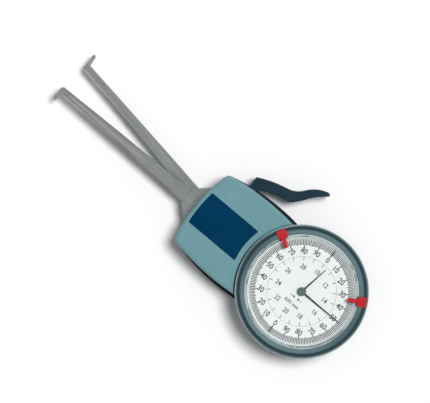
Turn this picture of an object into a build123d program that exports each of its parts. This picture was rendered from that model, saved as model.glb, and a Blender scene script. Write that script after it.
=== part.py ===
from build123d import *
import os
from math import asin, atan2, cos, degrees, hypot, radians, sin

# Internal caliper gauge, in millimetres. The origin is where the dial's axis meets the flat back.
# The measuring arms point to -X and the release lever lies on +Y.

os.makedirs("parts", exist_ok=True)

# Clearances
push_fit = 0.02
running_fit = 0.05
side_gap = 0.1
cover_gap = 0.2

# Heights of the two arms above the back: the moving arm lies under the fixed one
arm_thickness = 2.6
arm_gap = 0.2
moving_bottom = 5.8
moving_top = moving_bottom + arm_thickness
frame_bottom = moving_top + arm_gap
frame_top = frame_bottom + arm_thickness
contact_plane = (moving_top + frame_bottom) / 2

# Radii from the dial outwards: dial, bezel's skirt, case's collar, case and bezel's rim
dial_radius = 27.3
dial_hole = 1.8
ring_width = 0.9
ring_land = 0.15
crystal_ledge = 1.5
crystal_radius = dial_radius + crystal_ledge
skirt_wall = 0.6
skirt_inner = dial_radius + side_gap + skirt_wall
bore_radius = skirt_inner + cover_gap
collar_wall = 1.8
collar_radius = bore_radius + collar_wall
skirt_outer = collar_radius + side_gap
ledge_width = 1.3
snap_inner = collar_radius - 0.9
snap_outer = collar_radius + 0.6
snap_gap = 3.0
collar_step = 3.0
case_radius = collar_radius + collar_step
back_step = 0.2
back_radius = case_radius + back_step
bezel_overhang = 0.5
bezel_radius = case_radius + bezel_overhang
recess_gap = 0.8
recess_radius = bezel_radius + recess_gap
rim_width = 1.0
groove_width = 1.4
groove_outer = bezel_radius - rim_width
groove_inner = groove_outer - groove_width

# Case: the back shell's wall is thicker, because the front housing stands on it further in
case_wall = 1.8
back_wall = 2.6
floor_top = 2.0
split_height = contact_plane
body_height = 19.5
recess_depth = 2.5
bezel_seat = body_height - recess_depth
grip_ceiling = body_height - case_wall
round_ceiling = bezel_seat - case_wall
body_front = 68.4
body_rear = -20.0
front_bow = 80.3
body_bow = 140.0
body_crest = (-40.0, 23.75)
back_bow = 110.0
back_crest = (-36.0, 25.3)
corner_radius = 3.0
body_edge = 1.8
back_edge = 1.2

# Name plate: it follows the front edge, and its rear edge runs round the bezel
plate_margin = 2.0
plate_half = 9.4
plate_shift = -0.3
plate_bezel_gap = 3.3
plate_rear_radius = bezel_radius + plate_bezel_gap
plate_corner = 0.6
plate_recess = 0.3
plate_thickness = 0.4

# Heights of the dial, the bezel and the crystal above the bezel's seat
bezel_bottom = bezel_seat + 0.3
snap_bottom = bezel_seat + 1.4
snap_height = 0.8
collar_top = bezel_seat + 2.4
dial_bottom = bezel_seat + 1.0
dial_thickness = 0.6
dial_top = dial_bottom + dial_thickness
ledge_thickness = 0.6
crystal_seat = dial_top + 2.0
gasket_thickness = 0.2
crystal_thickness = 1.5
crystal_bevel = 0.8
crystal_drop = 0.35
crystal_top = crystal_seat + gasket_thickness + crystal_thickness
rim_top = crystal_top + 0.1
ring_top = rim_top + 0.5
ring_fall = 0.6
groove_depth = 2.5
groove_floor = rim_top - groove_depth
groove_lip = 0.25
rim_edge = 0.5

# Measuring arms
largest_measure = 30.5
fixed_ball_radius = 0.8
fixed_ball_place = (-157.15, -5.35)
moving_ball_radius = 0.8
moving_ball_x = -155.65
moving_ball_y = fixed_ball_place[1] + largest_measure - fixed_ball_radius - moving_ball_radius
arm_edge = 0.3
bevel_end_x = -85.0
bevel_size = 1.2
bevel_least = 0.1

# Fixed arm: hooked bar, flange and the plate that carries the movement
hook_outer = -158.2
hook_inner = -156.2
hook_end = -5.2
bar_tip_half = 2.0
bar_low_root = -4.0
bar_high_root = 3.3
hook_round = 1.9
inner_round = 1.0
frame_radius = 26.8
flange_front = -74.8
flange_root = -67.5
flange_tip_half = 4.4
flange_half = 11.2
pad_end = -70.4
pad_rise = 1.0
shoulder_front = -65.3
shoulder_rear = -57.0
shoulder_half = 12.3
neck_half = 8.6
idler_passage = 1.6
centre_bush_radius = 2.0

# Moving arm: hook, curved blade, hub, ear for the push pin and tail for the sector
moving_hook_left = -156.5
moving_hook_right = -154.75
moving_tip_low = (-156.1, 14.8)
moving_tip_high = (-154.2, 18.75)
heel_round = 2.2
notch_round = 0.4
blade_low_middle = (-118.0, 8.3)
blade_low_root = (-73.3, -0.9)
blade_high_root = (-73.3, 6.65)
hub_low = (-54.0, -4.8)
hub_high = (-53.0, 3.6)
arm_hub = 7.0
ear_length = 11.5
ear_radius = 2.6
tail_half = 3.0
tail_step = 19.3
tail_length = 25.5
arm_bush_wall = 0.85

# Gearing: toothed sector and pinion, wheel and centre pinion, and two equal wheels for the slow pointer
arm_travel = 10.9
sector_module = 0.2
sector_circle_teeth = 341
spare_teeth = 2
idler_leaves = 10
wheel_module = 0.3125
reduction_teeth = 80
centre_leaves = 8
transfer_teeth = (reduction_teeth + centre_leaves) // 2
tooth_above = 1.0
tooth_below = 1.25
wheel_shares = (0.60, 0.26)
leaf_shares = (0.50, 0.20)
half_tooth = 180
idler_distance = wheel_module * (reduction_teeth + centre_leaves) / 2
pivot_distance = sector_module * (sector_circle_teeth + idler_leaves) / 2
idler_place = (-idler_distance, 0)
pivot_place = (-idler_distance - pivot_distance, 0)
centre_place = (0, 0)
centre_heading = 180

# Sector on the arm's tail
sector_bottom = 6.0
sector_thickness = 1.0
sector_inner = 20.0
sector_screw_reaches = (21.2, 24.2)
sector_screw_radius = 0.7
sector_screw_head = 1.3
sector_head_height = 0.8

# Movement: bridges, pillars, arbors, wheels and the bridges' pivots
pillar_places = [(-19.0, 15.0), (-19.0, -15.0), (12.0, 0.0)]
pillar_radius = 1.7
pillar_spigot = 1.0
foot_places = [(-5.0, 6.5), (-5.0, -6.5)]
foot_radius = 1.6
pin_spigot = 0.8
spigot_depth = 1.6
lower_bridge_bottom = 3.2
lower_bridge_top = 4.4
upper_bridge_bottom = 14.2
upper_bridge_top = 15.2
bridge_edge = 2.4
window_radius = 3.0
window_places = [(-15.5, 8.0), (-15.5, -8.0)]
small_pivot = 0.45
idler_radius = 0.7
idler_flange = 1.5
idler_pinion_height = 1.4
reduction_bottom = 11.9
reduction_thickness = 0.6
transfer_bottom = 12.9
transfer_thickness = 0.5
centre_radius = 0.6
centre_pinion_drop = 0.3
tube_radius = 1.1
tube_shoulder = 1.8

# Hairspring that takes up the play of the teeth
collet_radius = 1.4
stud_reach = 6.2
stud_radius = 0.5
spring_bottom = 13.5
spring_height = 0.5
spring_half = 0.06
spring_turns = 2.5
steps_per_turn = 12

# Pointers and their cap
short_pointer_bottom = dial_top + 0.5
long_pointer_bottom = short_pointer_bottom + 0.5
pointer_thickness = 0.2
long_pointer_reach = 24.1
long_pointer_angle = 0.0
long_pointer_hub = 1.8
short_pointer_reach = 16.3
short_pointer_angle = 81.6
short_pointer_hub = 1.7
pointer_root_half = 0.45
pointer_tip_half = 0.17
cap_radius = 2.2
cap_height = 0.6

# Stop pin, and the leaf spring that pushes the arm open from a slotted post
stop_reach = 13.0
stop_radius = 1.2
post_place = (-55.0, -6.5)
post_radius = 1.2
post_top = frame_top + 2.0
leaf_thickness = 0.4
leaf_bottom = frame_top + 0.4
leaf_height = 1.2
leaf_overrun = 1.5

# Pivot of the moving arm, hanging from the frame plate
pivot_shank = 2.5
pivot_spigot = 1.8
pin_head_height = 1.1
pin_overrun = 0.4
nut_across = 5.6
nut_height = 1.7

# Release lever: outline of its blade from the heel over the crest to the belly, and its finger in the case
lever_place = (-51.0, 21.2)
lever_bottom = 4.6
lever_top = 12.4
lever_hub = 2.8
lever_edge = 0.5
lever_heel = (-54.0, 29.4)
lever_back = (-45.2, 33.2)
lever_dip = (-38.4, 35.05)
lever_rise = (-30.9, 40.0)
lever_crest = (-20.6, 46.8)
lever_tip = (-19.4, 45.5)
lever_palm = (-24.3, 41.15)
lever_bend = (-28.6, 35.3)
lever_belly = [(-32.6, 30.5), (-40.5, 28.7), (-46.6, 26.5), (-49.5, 24.3)]
belly_rounds = [4.0, 8.0, 4.0]
tip_round = 0.6
finger_bottom = 8.8
finger_height = 2.0
finger_width = 2.6
finger_below = 1.8
finger_above = 1.9
finger_slope = 0.8
finger_front_root = (lever_place[0] - 1.6, lever_place[1] - 1.0)
finger_rear_root = (lever_place[0] + 1.8, lever_place[1] + 0.7)
push_radius = 1.2
push_angle = 90 - arm_travel / 2
lever_play = 0.12
lever_half_travel = arm_travel / 2 * ear_length / (lever_place[1] - ear_length)
lever_pin_radius = 1.25
lever_boss = 2.0
bush_wall = 0.65

# Openings of the case for the arms and the lever
arm_notch_half = 6.8
notch_depth = 5.0
lever_slot_front = -54.9
lever_slot_rear = -46.3
lever_slot_bottom = lever_bottom - cover_gap
lever_slot_top = lever_top + cover_gap
lever_pin_top = lever_slot_top + 1.6

# Screws
case_screw_radius = 1.0
case_screw_head = 2.0
case_boss = 2.6
case_screw_top = 13.5
case_screw_inset = 4.0
case_screw_reach = case_radius - case_screw_inset
case_screw_heading = 50
screw_head_bottom = 0.3
screw_seat = 1.6
slot_width = 0.6
slot_depth = 0.5
frame_screw_radius = 1.0
frame_screw_head = 2.0
frame_head_height = 1.2
frame_screw_end = 4.0
frame_boss = 2.4
frame_screw_places = [(-60.5, 9.3), (-60.5, -9.3), (17.0, 0.0)]

# Tolerance markers: a foot in the bezel's groove, a head over the bezel and a tongue over the crystal
marker_angles = {"left": 149.0, "right": 30.1}
marker_inner = crystal_radius - 0.6
marker_width = 5.0
marker_foot_width = 4.0
marker_bottom = ring_top + running_fit
marker_height = 1.1
marker_edge = 0.3
tongue_tip = 23.1
tongue_tip_half = 0.8
tongue_root_half = 1.25
tongue_bottom = crystal_top + 0.3
tongue_height = 0.8


def polar(radius, angle, centre=(0, 0)):
    return (centre[0] + radius * cos(radians(angle)), centre[1] + radius * sin(radians(angle)))


def turned(point, angle, centre):
    reach = hypot(point[0] - centre[0], point[1] - centre[1])
    heading = degrees(atan2(point[1] - centre[1], point[0] - centre[0]))
    return polar(reach, heading + angle, centre)


def disc(radius, bottom, top, place=(0, 0), mode=Mode.ADD):
    with Locations((place[0], place[1], bottom)):
        Cylinder(radius, top - bottom, align=(Align.CENTER, Align.CENTER, Align.MIN), mode=mode)


def save(piece, name):
    piece.part.label = name
    export_step(piece.part, f"parts/{name}.step")


def tooth_points(count, module, middle, shares, centre, first, last):
    # Corners of straight-flanked teeth, whose widths at root and tip are shares of the pitch
    root_share, tip_share = shares
    pitch = 360 / count
    root = module * (count / 2 - tooth_below)
    tip = module * (count / 2 + tooth_above)
    points = []
    for index in range(first, last):
        heading = middle + index * pitch
        points.append(polar(root, heading - root_share * pitch / 2, centre))
        points.append(polar(tip, heading - tip_share * pitch / 2, centre))
        points.append(polar(tip, heading + tip_share * pitch / 2, centre))
        points.append(polar(root, heading + root_share * pitch / 2, centre))
    return points


def toothed_plan(count, module, middle, shares, centre):
    # Closed outline of a whole wheel or pinion
    with BuildSketch(mode=Mode.PRIVATE) as plan:
        with BuildLine():
            Polyline(*tooth_points(count, module, middle, shares, centre, 0, count), close=True)
        make_face()
    return plan.sketch


case_screw_places = [(-61.0, 17.5), (-61.0, -17.5)]
case_screw_places += [polar(case_screw_reach, side * case_screw_heading) for side in (1, -1)]


def grip_plan(bow, crest, shrink=0):
    # Plan of the grip, bowed on three sides and closed inside the round case
    with BuildSketch(mode=Mode.PRIVATE) as plan:
        with Locations((front_bow - body_front, 0)):
            Circle(front_bow - shrink)
        for side in (1, -1):
            with Locations((crest[0], side * (crest[1] - bow))):
                Circle(bow - shrink, mode=Mode.INTERSECT)
        with Locations((body_rear, 0)):
            Rectangle(body_front, 4 * crest[1], align=(Align.MAX, Align.CENTER), mode=Mode.INTERSECT)
        fillet(plan.vertices().group_by(Axis.X)[0], corner_radius - shrink)
    return plan.sketch


def front_plan(shrink=0):
    return grip_plan(body_bow, body_crest, shrink)


def back_plan(shrink=0):
    return grip_plan(back_bow, back_crest, shrink)


def plate_outline():
    with BuildSketch(mode=Mode.PRIVATE) as plan:
        add(front_plan(plate_margin))
        with Locations((-body_front, plate_shift)):
            Rectangle(2 * body_front, 2 * plate_half, mode=Mode.INTERSECT)
        Circle(plate_rear_radius, mode=Mode.SUBTRACT)
        fillet(plan.vertices(), plate_corner)
    return plan.sketch


def lever_slot():
    with BuildPart(mode=Mode.PRIVATE) as slot:
        with BuildSketch(Plane.XY.offset(lever_slot_bottom)):
            with Locations((lever_slot_front, lever_place[1] - lever_hub)):
                Rectangle(lever_slot_rear - lever_slot_front, 2 * notch_depth, align=(Align.MIN, Align.MIN))
        extrude(amount=lever_slot_top - lever_slot_bottom)
    return slot.part


with BuildPart() as back_shell:
    with BuildSketch():
        add(back_plan())
    extrude(amount=split_height)
    chamfer(back_shell.faces().sort_by(Axis.Z)[0].edges(), back_edge)
    with BuildSketch(Plane.XZ):
        with BuildLine():
            Polyline(
                (0, 0),
                (back_radius - back_edge, 0),
                (back_radius, back_edge),
                (back_radius, split_height),
                (0, split_height),
                close=True,
            )
        make_face()
    revolve(axis=Axis.Z)
    with BuildSketch(Plane.XY.offset(floor_top)):
        add(back_plan(back_wall))
        Circle(back_radius - case_wall)
    extrude(amount=split_height - floor_top, mode=Mode.SUBTRACT)
    for place in case_screw_places:
        disc(case_boss, floor_top, split_height, place)
    for place in frame_screw_places:
        disc(frame_boss, floor_top, frame_bottom, place)
    disc(lever_boss, floor_top, lever_slot_bottom, lever_place)
    for place in case_screw_places:
        disc(case_screw_radius + side_gap, 0, split_height, place, mode=Mode.SUBTRACT)
        disc(case_screw_head + side_gap, 0, screw_seat, place, mode=Mode.SUBTRACT)
    for place in frame_screw_places:
        disc(frame_screw_radius + push_fit, frame_screw_end, frame_bottom, place, mode=Mode.SUBTRACT)
    disc(lever_pin_radius + push_fit, floor_top, lever_slot_bottom, lever_place, mode=Mode.SUBTRACT)
    with Locations((-body_front, 0, moving_bottom - cover_gap)):
        Box(
            2 * notch_depth,
            2 * arm_notch_half,
            split_height - moving_bottom + cover_gap,
            align=(Align.CENTER, Align.CENTER, Align.MIN),
            mode=Mode.SUBTRACT,
        )
    add(lever_slot(), mode=Mode.SUBTRACT)
save(back_shell, "back_shell")


with BuildPart() as front_housing:
    with BuildSketch(Plane.XY.offset(split_height)):
        add(front_plan())
    extrude(amount=body_height - split_height)
    fillet(front_housing.faces().sort_by(Axis.Z)[-1].edges(), body_edge)
    disc(case_radius, split_height, bezel_seat)
    disc(recess_radius, bezel_seat, body_height, mode=Mode.SUBTRACT)
    with BuildSketch(Plane.XY.offset(split_height)):
        add(front_plan(case_wall))
        Circle(case_radius - case_wall)
    extrude(amount=round_ceiling - split_height, mode=Mode.SUBTRACT)
    with BuildSketch(Plane.XY.offset(round_ceiling)):
        add(front_plan(case_wall))
        Circle(recess_radius + case_wall, mode=Mode.SUBTRACT)
    extrude(amount=grip_ceiling - round_ceiling, mode=Mode.SUBTRACT)
    disc(collar_radius, bezel_seat, collar_top)
    for place in case_screw_places:
        disc(case_boss, split_height, round_ceiling, place)
    for place in case_screw_places[:2]:
        disc(case_boss, round_ceiling, grip_ceiling, place)
    disc(lever_boss, lever_slot_top, grip_ceiling, lever_place)
    disc(bore_radius, round_ceiling, collar_top, mode=Mode.SUBTRACT)
    with BuildSketch(Plane.XY.offset(snap_bottom - side_gap)):
        Circle(collar_radius)
        Circle(snap_inner - side_gap, mode=Mode.SUBTRACT)
    extrude(amount=snap_height + 2 * side_gap, mode=Mode.SUBTRACT)
    for place in case_screw_places:
        disc(case_screw_radius + push_fit, split_height, case_screw_top + side_gap, place, mode=Mode.SUBTRACT)
    disc(lever_pin_radius + push_fit, lever_slot_top, lever_pin_top, lever_place, mode=Mode.SUBTRACT)
    with BuildSketch(Plane.XY.offset(body_height - plate_recess)):
        add(plate_outline())
    extrude(amount=plate_recess, mode=Mode.SUBTRACT)
    with Locations((-body_front, 0, split_height)):
        Box(
            2 * notch_depth,
            2 * (flange_half + side_gap),
            frame_top + cover_gap - split_height,
            align=(Align.CENTER, Align.CENTER, Align.MIN),
            mode=Mode.SUBTRACT,
        )
    add(lever_slot(), mode=Mode.SUBTRACT)
save(front_housing, "front_housing")


with BuildPart() as name_plate:
    with BuildSketch(Plane.XY.offset(body_height - plate_recess)):
        add(plate_outline())
        offset(amount=-running_fit, mode=Mode.REPLACE)
    extrude(amount=plate_thickness)
save(name_plate, "name_plate")


for number, place in enumerate(case_screw_places, start=1):
    with BuildPart() as case_screw:
        disc(case_screw_head, screw_head_bottom, screw_seat, place)
        disc(case_screw_radius, screw_seat, case_screw_top, place)
        with Locations((place[0], place[1], screw_head_bottom)):
            Box(
                2 * case_screw_head,
                slot_width,
                slot_depth,
                align=(Align.CENTER, Align.CENTER, Align.MIN),
                mode=Mode.SUBTRACT,
            )
    save(case_screw, f"case_screw_{number}")


# Places that follow from the arm's pivot and its travel
tail_angle = -arm_travel / 2
push_place = polar(ear_length, push_angle, pivot_place)
stop_middle = polar(stop_reach, tail_angle, pivot_place)
stop_place = polar(tail_half + running_fit + stop_radius, tail_angle - 90, stop_middle)


def bevel_wedge(tip, end, level):
    # Long bevel along an arm's lower edge; its depth shrinks evenly from the hook to where it runs out
    with BuildPart(mode=Mode.PRIVATE) as wedge:
        for x, y in (tip, end):
            share = (bevel_end_x - x) / (bevel_end_x - hook_inner)
            size = bevel_least + (bevel_size - bevel_least) * share
            with BuildSketch(Plane.YZ.offset(x)):
                with BuildLine():
                    Polyline(
                        (y - size, level - size),
                        (y + size, level + size),
                        (y - size, level + size),
                        close=True,
                    )
                make_face()
        loft()
    return wedge.part


def flange_plan():
    with BuildSketch(mode=Mode.PRIVATE) as plan:
        with BuildLine():
            Polyline(
                (flange_front, 0),
                (flange_front, flange_tip_half),
                (flange_root, flange_half),
                (shoulder_front, flange_half),
                (shoulder_front, 0),
                close=True,
            )
        make_face()
        mirror(about=Plane.XZ)
    return plan.sketch


with BuildPart() as fixed_arm:
    with BuildSketch(Plane.XY.offset(frame_bottom)) as bar:
        with BuildLine():
            Polyline(
                (hook_outer, bar_tip_half),
                (hook_outer, hook_end),
                (hook_inner, hook_end),
                (hook_inner, -bar_tip_half),
                (pad_end, bar_low_root),
                (pad_end, bar_high_root),
                close=True,
            )
        make_face()
        fillet(bar.vertices().sort_by_distance((hook_outer, bar_tip_half, frame_bottom))[0], hook_round)
        fillet(bar.vertices().sort_by_distance((hook_inner, -bar_tip_half, frame_bottom))[0], inner_round)
    extrude(amount=arm_thickness)
    chamfer(fixed_arm.faces().sort_by(Axis.Z)[-1].edges(), arm_edge)
    bar_share = (bevel_end_x - hook_inner) / (pad_end - hook_inner)
    bevel_end = (bevel_end_x, -bar_tip_half + (bar_low_root + bar_tip_half) * bar_share)
    add(bevel_wedge((hook_inner, -bar_tip_half), bevel_end, frame_top), mode=Mode.SUBTRACT)
    with BuildSketch(Plane.XY.offset(frame_bottom)):
        add(flange_plan())
        with BuildLine():
            Polyline(
                (shoulder_front, 0),
                (shoulder_front, shoulder_half),
                (shoulder_rear, shoulder_half),
                (shoulder_rear, neck_half),
                (0, neck_half),
                (0, 0),
                close=True,
            )
        make_face()
        mirror(about=Plane.XZ)
        Circle(frame_radius)
    extrude(amount=arm_thickness)
    with BuildSketch(Plane.XY.offset(frame_top)):
        add(flange_plan())
        with Locations((pad_end, 0)):
            Rectangle(4 * flange_half, 4 * flange_half, align=(Align.MAX, Align.CENTER), mode=Mode.INTERSECT)
    extrude(amount=pad_rise)
    for place in case_screw_places[2:]:
        disc(case_boss + side_gap, frame_bottom, frame_top, place, mode=Mode.SUBTRACT)
    disc(pivot_spigot + push_fit, frame_bottom, frame_top, pivot_place, mode=Mode.SUBTRACT)
    disc(idler_passage, frame_bottom, frame_top, idler_place, mode=Mode.SUBTRACT)
    disc(centre_bush_radius + push_fit, frame_bottom, frame_top, centre_place, mode=Mode.SUBTRACT)
    for place in frame_screw_places:
        disc(frame_screw_radius + side_gap, frame_bottom, frame_top, place, mode=Mode.SUBTRACT)
    for place in pillar_places:
        disc(pillar_spigot + push_fit, frame_top - spigot_depth, frame_top, place, mode=Mode.SUBTRACT)
    for place in foot_places + [stop_place]:
        disc(pin_spigot + push_fit, frame_bottom, frame_bottom + spigot_depth, place, mode=Mode.SUBTRACT)
    disc(pin_spigot + push_fit, frame_top - spigot_depth, frame_top, post_place, mode=Mode.SUBTRACT)
    with Locations((fixed_ball_place[0], fixed_ball_place[1], contact_plane)):
        Sphere(fixed_ball_radius + push_fit, mode=Mode.SUBTRACT)
save(fixed_arm, "fixed_arm")


with BuildPart() as fixed_contact:
    with Locations((fixed_ball_place[0], fixed_ball_place[1], contact_plane)):
        Sphere(fixed_ball_radius)
save(fixed_contact, "fixed_contact")


with BuildPart() as open_stop_pin:
    disc(stop_radius, moving_bottom, frame_bottom, stop_place)
    disc(pin_spigot, frame_bottom, frame_bottom + spigot_depth, stop_place)
save(open_stop_pin, "open_stop_pin")


for number, place in enumerate(frame_screw_places, start=1):
    with BuildPart() as frame_screw:
        disc(frame_screw_radius, frame_screw_end, frame_top, place)
        disc(frame_screw_head, frame_top, frame_top + frame_head_height, place)
        with Locations((place[0], place[1], frame_top + frame_head_height)):
            Box(
                2 * frame_screw_head,
                slot_width,
                slot_depth,
                align=(Align.CENTER, Align.CENTER, Align.MAX),
                mode=Mode.SUBTRACT,
            )
    save(frame_screw, f"frame_screw_{number}")


sector_screw_places = [polar(reach, tail_angle, pivot_place) for reach in sector_screw_reaches]
arm_bush_outer = pivot_shank + running_fit + arm_bush_wall
ball_step = contact_plane - fixed_ball_radius - side_gap
blade_share = (bevel_end_x - blade_low_middle[0]) / (blade_low_root[0] - blade_low_middle[0])
blade_bevel_y = blade_low_middle[1] + (blade_low_root[1] - blade_low_middle[1]) * blade_share
closed_ball = turned(fixed_ball_place, -arm_travel, pivot_place)
tail_plane = Plane((pivot_place[0], pivot_place[1], moving_bottom)).rotated((0, 0, tail_angle))

with BuildPart() as moving_arm:
    with BuildSketch(Plane.XY.offset(moving_bottom)) as blade:
        with BuildLine():
            Line((moving_hook_left, moving_ball_y), moving_tip_low)
            ThreePointArc(moving_tip_low, blade_low_middle, blade_low_root)
            Polyline(
                blade_low_root,
                hub_low,
                hub_high,
                blade_high_root,
                moving_tip_high,
                (moving_hook_right, moving_ball_y),
                (moving_hook_left, moving_ball_y),
            )
        make_face()
        fillet(blade.vertices().sort_by_distance((*moving_tip_high, moving_bottom))[0], notch_round)
        fillet(blade.vertices().sort_by_distance((*moving_tip_low, moving_bottom))[0], heel_round)
    extrude(amount=arm_thickness)
    chamfer(moving_arm.faces().sort_by(Axis.Z)[-1].edges(), arm_edge)
    add(bevel_wedge(moving_tip_low, blade_low_middle, moving_top), mode=Mode.SUBTRACT)
    add(bevel_wedge(blade_low_middle, (bevel_end_x, blade_bevel_y), moving_top), mode=Mode.SUBTRACT)
    disc(arm_hub, moving_bottom, moving_top, pivot_place)
    disc(ear_radius, moving_bottom, moving_top, push_place)
    with BuildSketch(Plane((pivot_place[0], pivot_place[1], moving_bottom)).rotated((0, 0, push_angle))):
        Rectangle(ear_length, 2 * ear_radius, align=(Align.MIN, Align.CENTER))
    extrude(amount=arm_thickness)
    with BuildSketch(tail_plane):
        Rectangle(tail_length, 2 * tail_half, align=(Align.MIN, Align.CENTER))
    extrude(amount=arm_thickness)
    with BuildSketch(tail_plane):
        with Locations((tail_step, 0)):
            Rectangle(tail_length, 4 * tail_half, align=(Align.MIN, Align.CENTER))
    extrude(amount=sector_bottom + sector_thickness - moving_bottom, mode=Mode.SUBTRACT)
    disc(arm_bush_outer + push_fit, moving_bottom, moving_top, pivot_place, mode=Mode.SUBTRACT)
    disc(pin_spigot + push_fit, moving_bottom, moving_top, push_place, mode=Mode.SUBTRACT)
    for place in sector_screw_places:
        disc(sector_screw_radius + push_fit, moving_bottom, moving_top, place, mode=Mode.SUBTRACT)
    with Locations((moving_ball_x, moving_ball_y, contact_plane)):
        Sphere(moving_ball_radius + push_fit, mode=Mode.SUBTRACT)
    # Step that lets the fixed arm's ball pass the corner when the arms are closed
    step_reach = fixed_ball_radius + cover_gap
    with Locations((closed_ball[0] + step_reach, closed_ball[1] + step_reach, ball_step)):
        Box(
            4 * step_reach,
            4 * step_reach,
            arm_thickness,
            align=(Align.MAX, Align.MAX, Align.MIN),
            mode=Mode.SUBTRACT,
        )
save(moving_arm, "moving_arm")


with BuildPart() as moving_contact:
    with Locations((moving_ball_x, moving_ball_y, contact_plane)):
        Sphere(moving_ball_radius)
save(moving_contact, "moving_contact")


with BuildPart() as arm_bush:
    disc(arm_bush_outer, moving_bottom, moving_top, pivot_place)
    disc(pivot_shank + running_fit, moving_bottom, moving_top, pivot_place, mode=Mode.SUBTRACT)
save(arm_bush, "arm_bush")


with BuildPart() as push_pin:
    disc(push_radius, moving_top, leaf_bottom + leaf_height + cover_gap, push_place)
    disc(pin_spigot, moving_bottom, moving_top, push_place)
save(push_pin, "push_pin")


sector_pitch = 360 / sector_circle_teeth
sector_first = -int(arm_travel / sector_pitch) - spare_teeth
sector_last = spare_teeth + 1
sector_start = (sector_first - 0.5) * sector_pitch
sector_end = (sector_last - 0.5) * sector_pitch

with BuildPart() as gear_sector:
    with BuildSketch(Plane.XY.offset(sector_bottom)):
        with BuildLine():
            teeth = Polyline(
                *tooth_points(
                    sector_circle_teeth,
                    sector_module,
                    0,
                    wheel_shares,
                    pivot_place,
                    sector_first,
                    sector_last,
                )
            )
            Line(teeth @ 1, polar(sector_inner, sector_end, pivot_place))
            ThreePointArc(
                polar(sector_inner, sector_end, pivot_place),
                polar(sector_inner, (sector_start + sector_end) / 2, pivot_place),
                polar(sector_inner, sector_start, pivot_place),
            )
            Line(polar(sector_inner, sector_start, pivot_place), teeth @ 0)
        make_face()
    extrude(amount=sector_thickness)
    for place in sector_screw_places:
        disc(sector_screw_radius + push_fit, sector_bottom, moving_top, place, mode=Mode.SUBTRACT)
save(gear_sector, "gear_sector")


for number, place in enumerate(sector_screw_places, start=1):
    with BuildPart() as sector_screw:
        disc(sector_screw_head, sector_bottom - sector_head_height, sector_bottom, place)
        disc(sector_screw_radius, sector_bottom, moving_top - side_gap, place)
    save(sector_screw, f"sector_screw_{number}")


with BuildPart() as arm_pivot_pin:
    disc(arm_bush_outer, moving_bottom - side_gap - pin_head_height, moving_bottom - side_gap, pivot_place)
    disc(pivot_shank, moving_bottom - side_gap, frame_bottom, pivot_place)
    disc(pivot_spigot, frame_bottom, frame_top + nut_height + pin_overrun, pivot_place)
save(arm_pivot_pin, "arm_pivot_pin")


with BuildPart() as pivot_nut:
    with BuildSketch(Plane.XY.offset(frame_top)):
        with Locations(pivot_place):
            RegularPolygon(nut_across / 2, 6, major_radius=False)
            Circle(pivot_spigot + push_fit, mode=Mode.SUBTRACT)
    extrude(amount=nut_height)
save(pivot_nut, "pivot_nut")


# The leaf spring runs from its post past the push pin and almost touches it
post_reach = hypot(push_place[0] - post_place[0], push_place[1] - post_place[1])
post_heading = degrees(atan2(push_place[1] - post_place[1], push_place[0] - post_place[0]))
leaf_side = push_radius + side_gap + leaf_thickness / 2
leaf_angle = post_heading + degrees(asin(leaf_side / post_reach))
leaf_plane = Plane((post_place[0], post_place[1], leaf_bottom)).rotated((0, 0, leaf_angle))

with BuildPart() as spring_post:
    disc(pin_spigot, frame_top - spigot_depth, frame_top, post_place)
    disc(post_radius, frame_top, post_top, post_place)
    with BuildSketch(leaf_plane):
        Rectangle(4 * post_radius, leaf_thickness + 2 * push_fit)
    extrude(amount=leaf_height + post_radius, mode=Mode.SUBTRACT)
save(spring_post, "spring_post")


with BuildPart() as arm_spring:
    with BuildSketch(leaf_plane):
        with Locations((-post_radius, 0)):
            leaf_length = post_radius + post_reach + leaf_overrun
            Rectangle(leaf_length, leaf_thickness, align=(Align.MIN, Align.CENTER))
    extrude(amount=leaf_height)
save(arm_spring, "arm_spring")


with BuildPart() as lower_bridge:
    with BuildSketch(Plane.XY.offset(lower_bridge_bottom)):
        with Locations(idler_place, *foot_places):
            Circle(bridge_edge)
        make_hull()
    extrude(amount=lower_bridge_top - lower_bridge_bottom)
    for place in foot_places:
        disc(foot_radius, lower_bridge_top, frame_bottom, place)
        disc(pin_spigot, frame_bottom, frame_bottom + spigot_depth - side_gap, place)
    disc(small_pivot + running_fit, lower_bridge_bottom, lower_bridge_top, idler_place, mode=Mode.SUBTRACT)
save(lower_bridge, "lower_bridge")


stud_place = (idler_place[0] - stud_reach, idler_place[1])

with BuildPart() as upper_bridge:
    with BuildSketch(Plane.XY.offset(upper_bridge_bottom)):
        with Locations(*pillar_places):
            Circle(bridge_edge)
        make_hull()
        with Locations(*window_places):
            Circle(window_radius, mode=Mode.SUBTRACT)
    extrude(amount=upper_bridge_top - upper_bridge_bottom)
    for place in pillar_places:
        disc(pillar_spigot + push_fit, upper_bridge_bottom, upper_bridge_top, place, mode=Mode.SUBTRACT)
    disc(small_pivot + running_fit, upper_bridge_bottom, upper_bridge_top, idler_place, mode=Mode.SUBTRACT)
    disc(tube_radius + running_fit, upper_bridge_bottom, upper_bridge_top, centre_place, mode=Mode.SUBTRACT)
    disc(stud_radius / 2 + push_fit, upper_bridge_bottom, upper_bridge_top, stud_place, mode=Mode.SUBTRACT)
save(upper_bridge, "upper_bridge")


for number, place in enumerate(pillar_places, start=1):
    with BuildPart() as bridge_pillar:
        disc(pillar_spigot, frame_top - spigot_depth + side_gap, frame_top, place)
        disc(pillar_radius, frame_top, upper_bridge_bottom, place)
        disc(pillar_spigot, upper_bridge_bottom, upper_bridge_top, place)
    save(bridge_pillar, f"bridge_pillar_{number}")


# Idler arbor: its pinion meets the sector, its wheels drive the centre
idler_foot = lower_bridge_top + side_gap
idler_head = upper_bridge_bottom - side_gap

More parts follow.
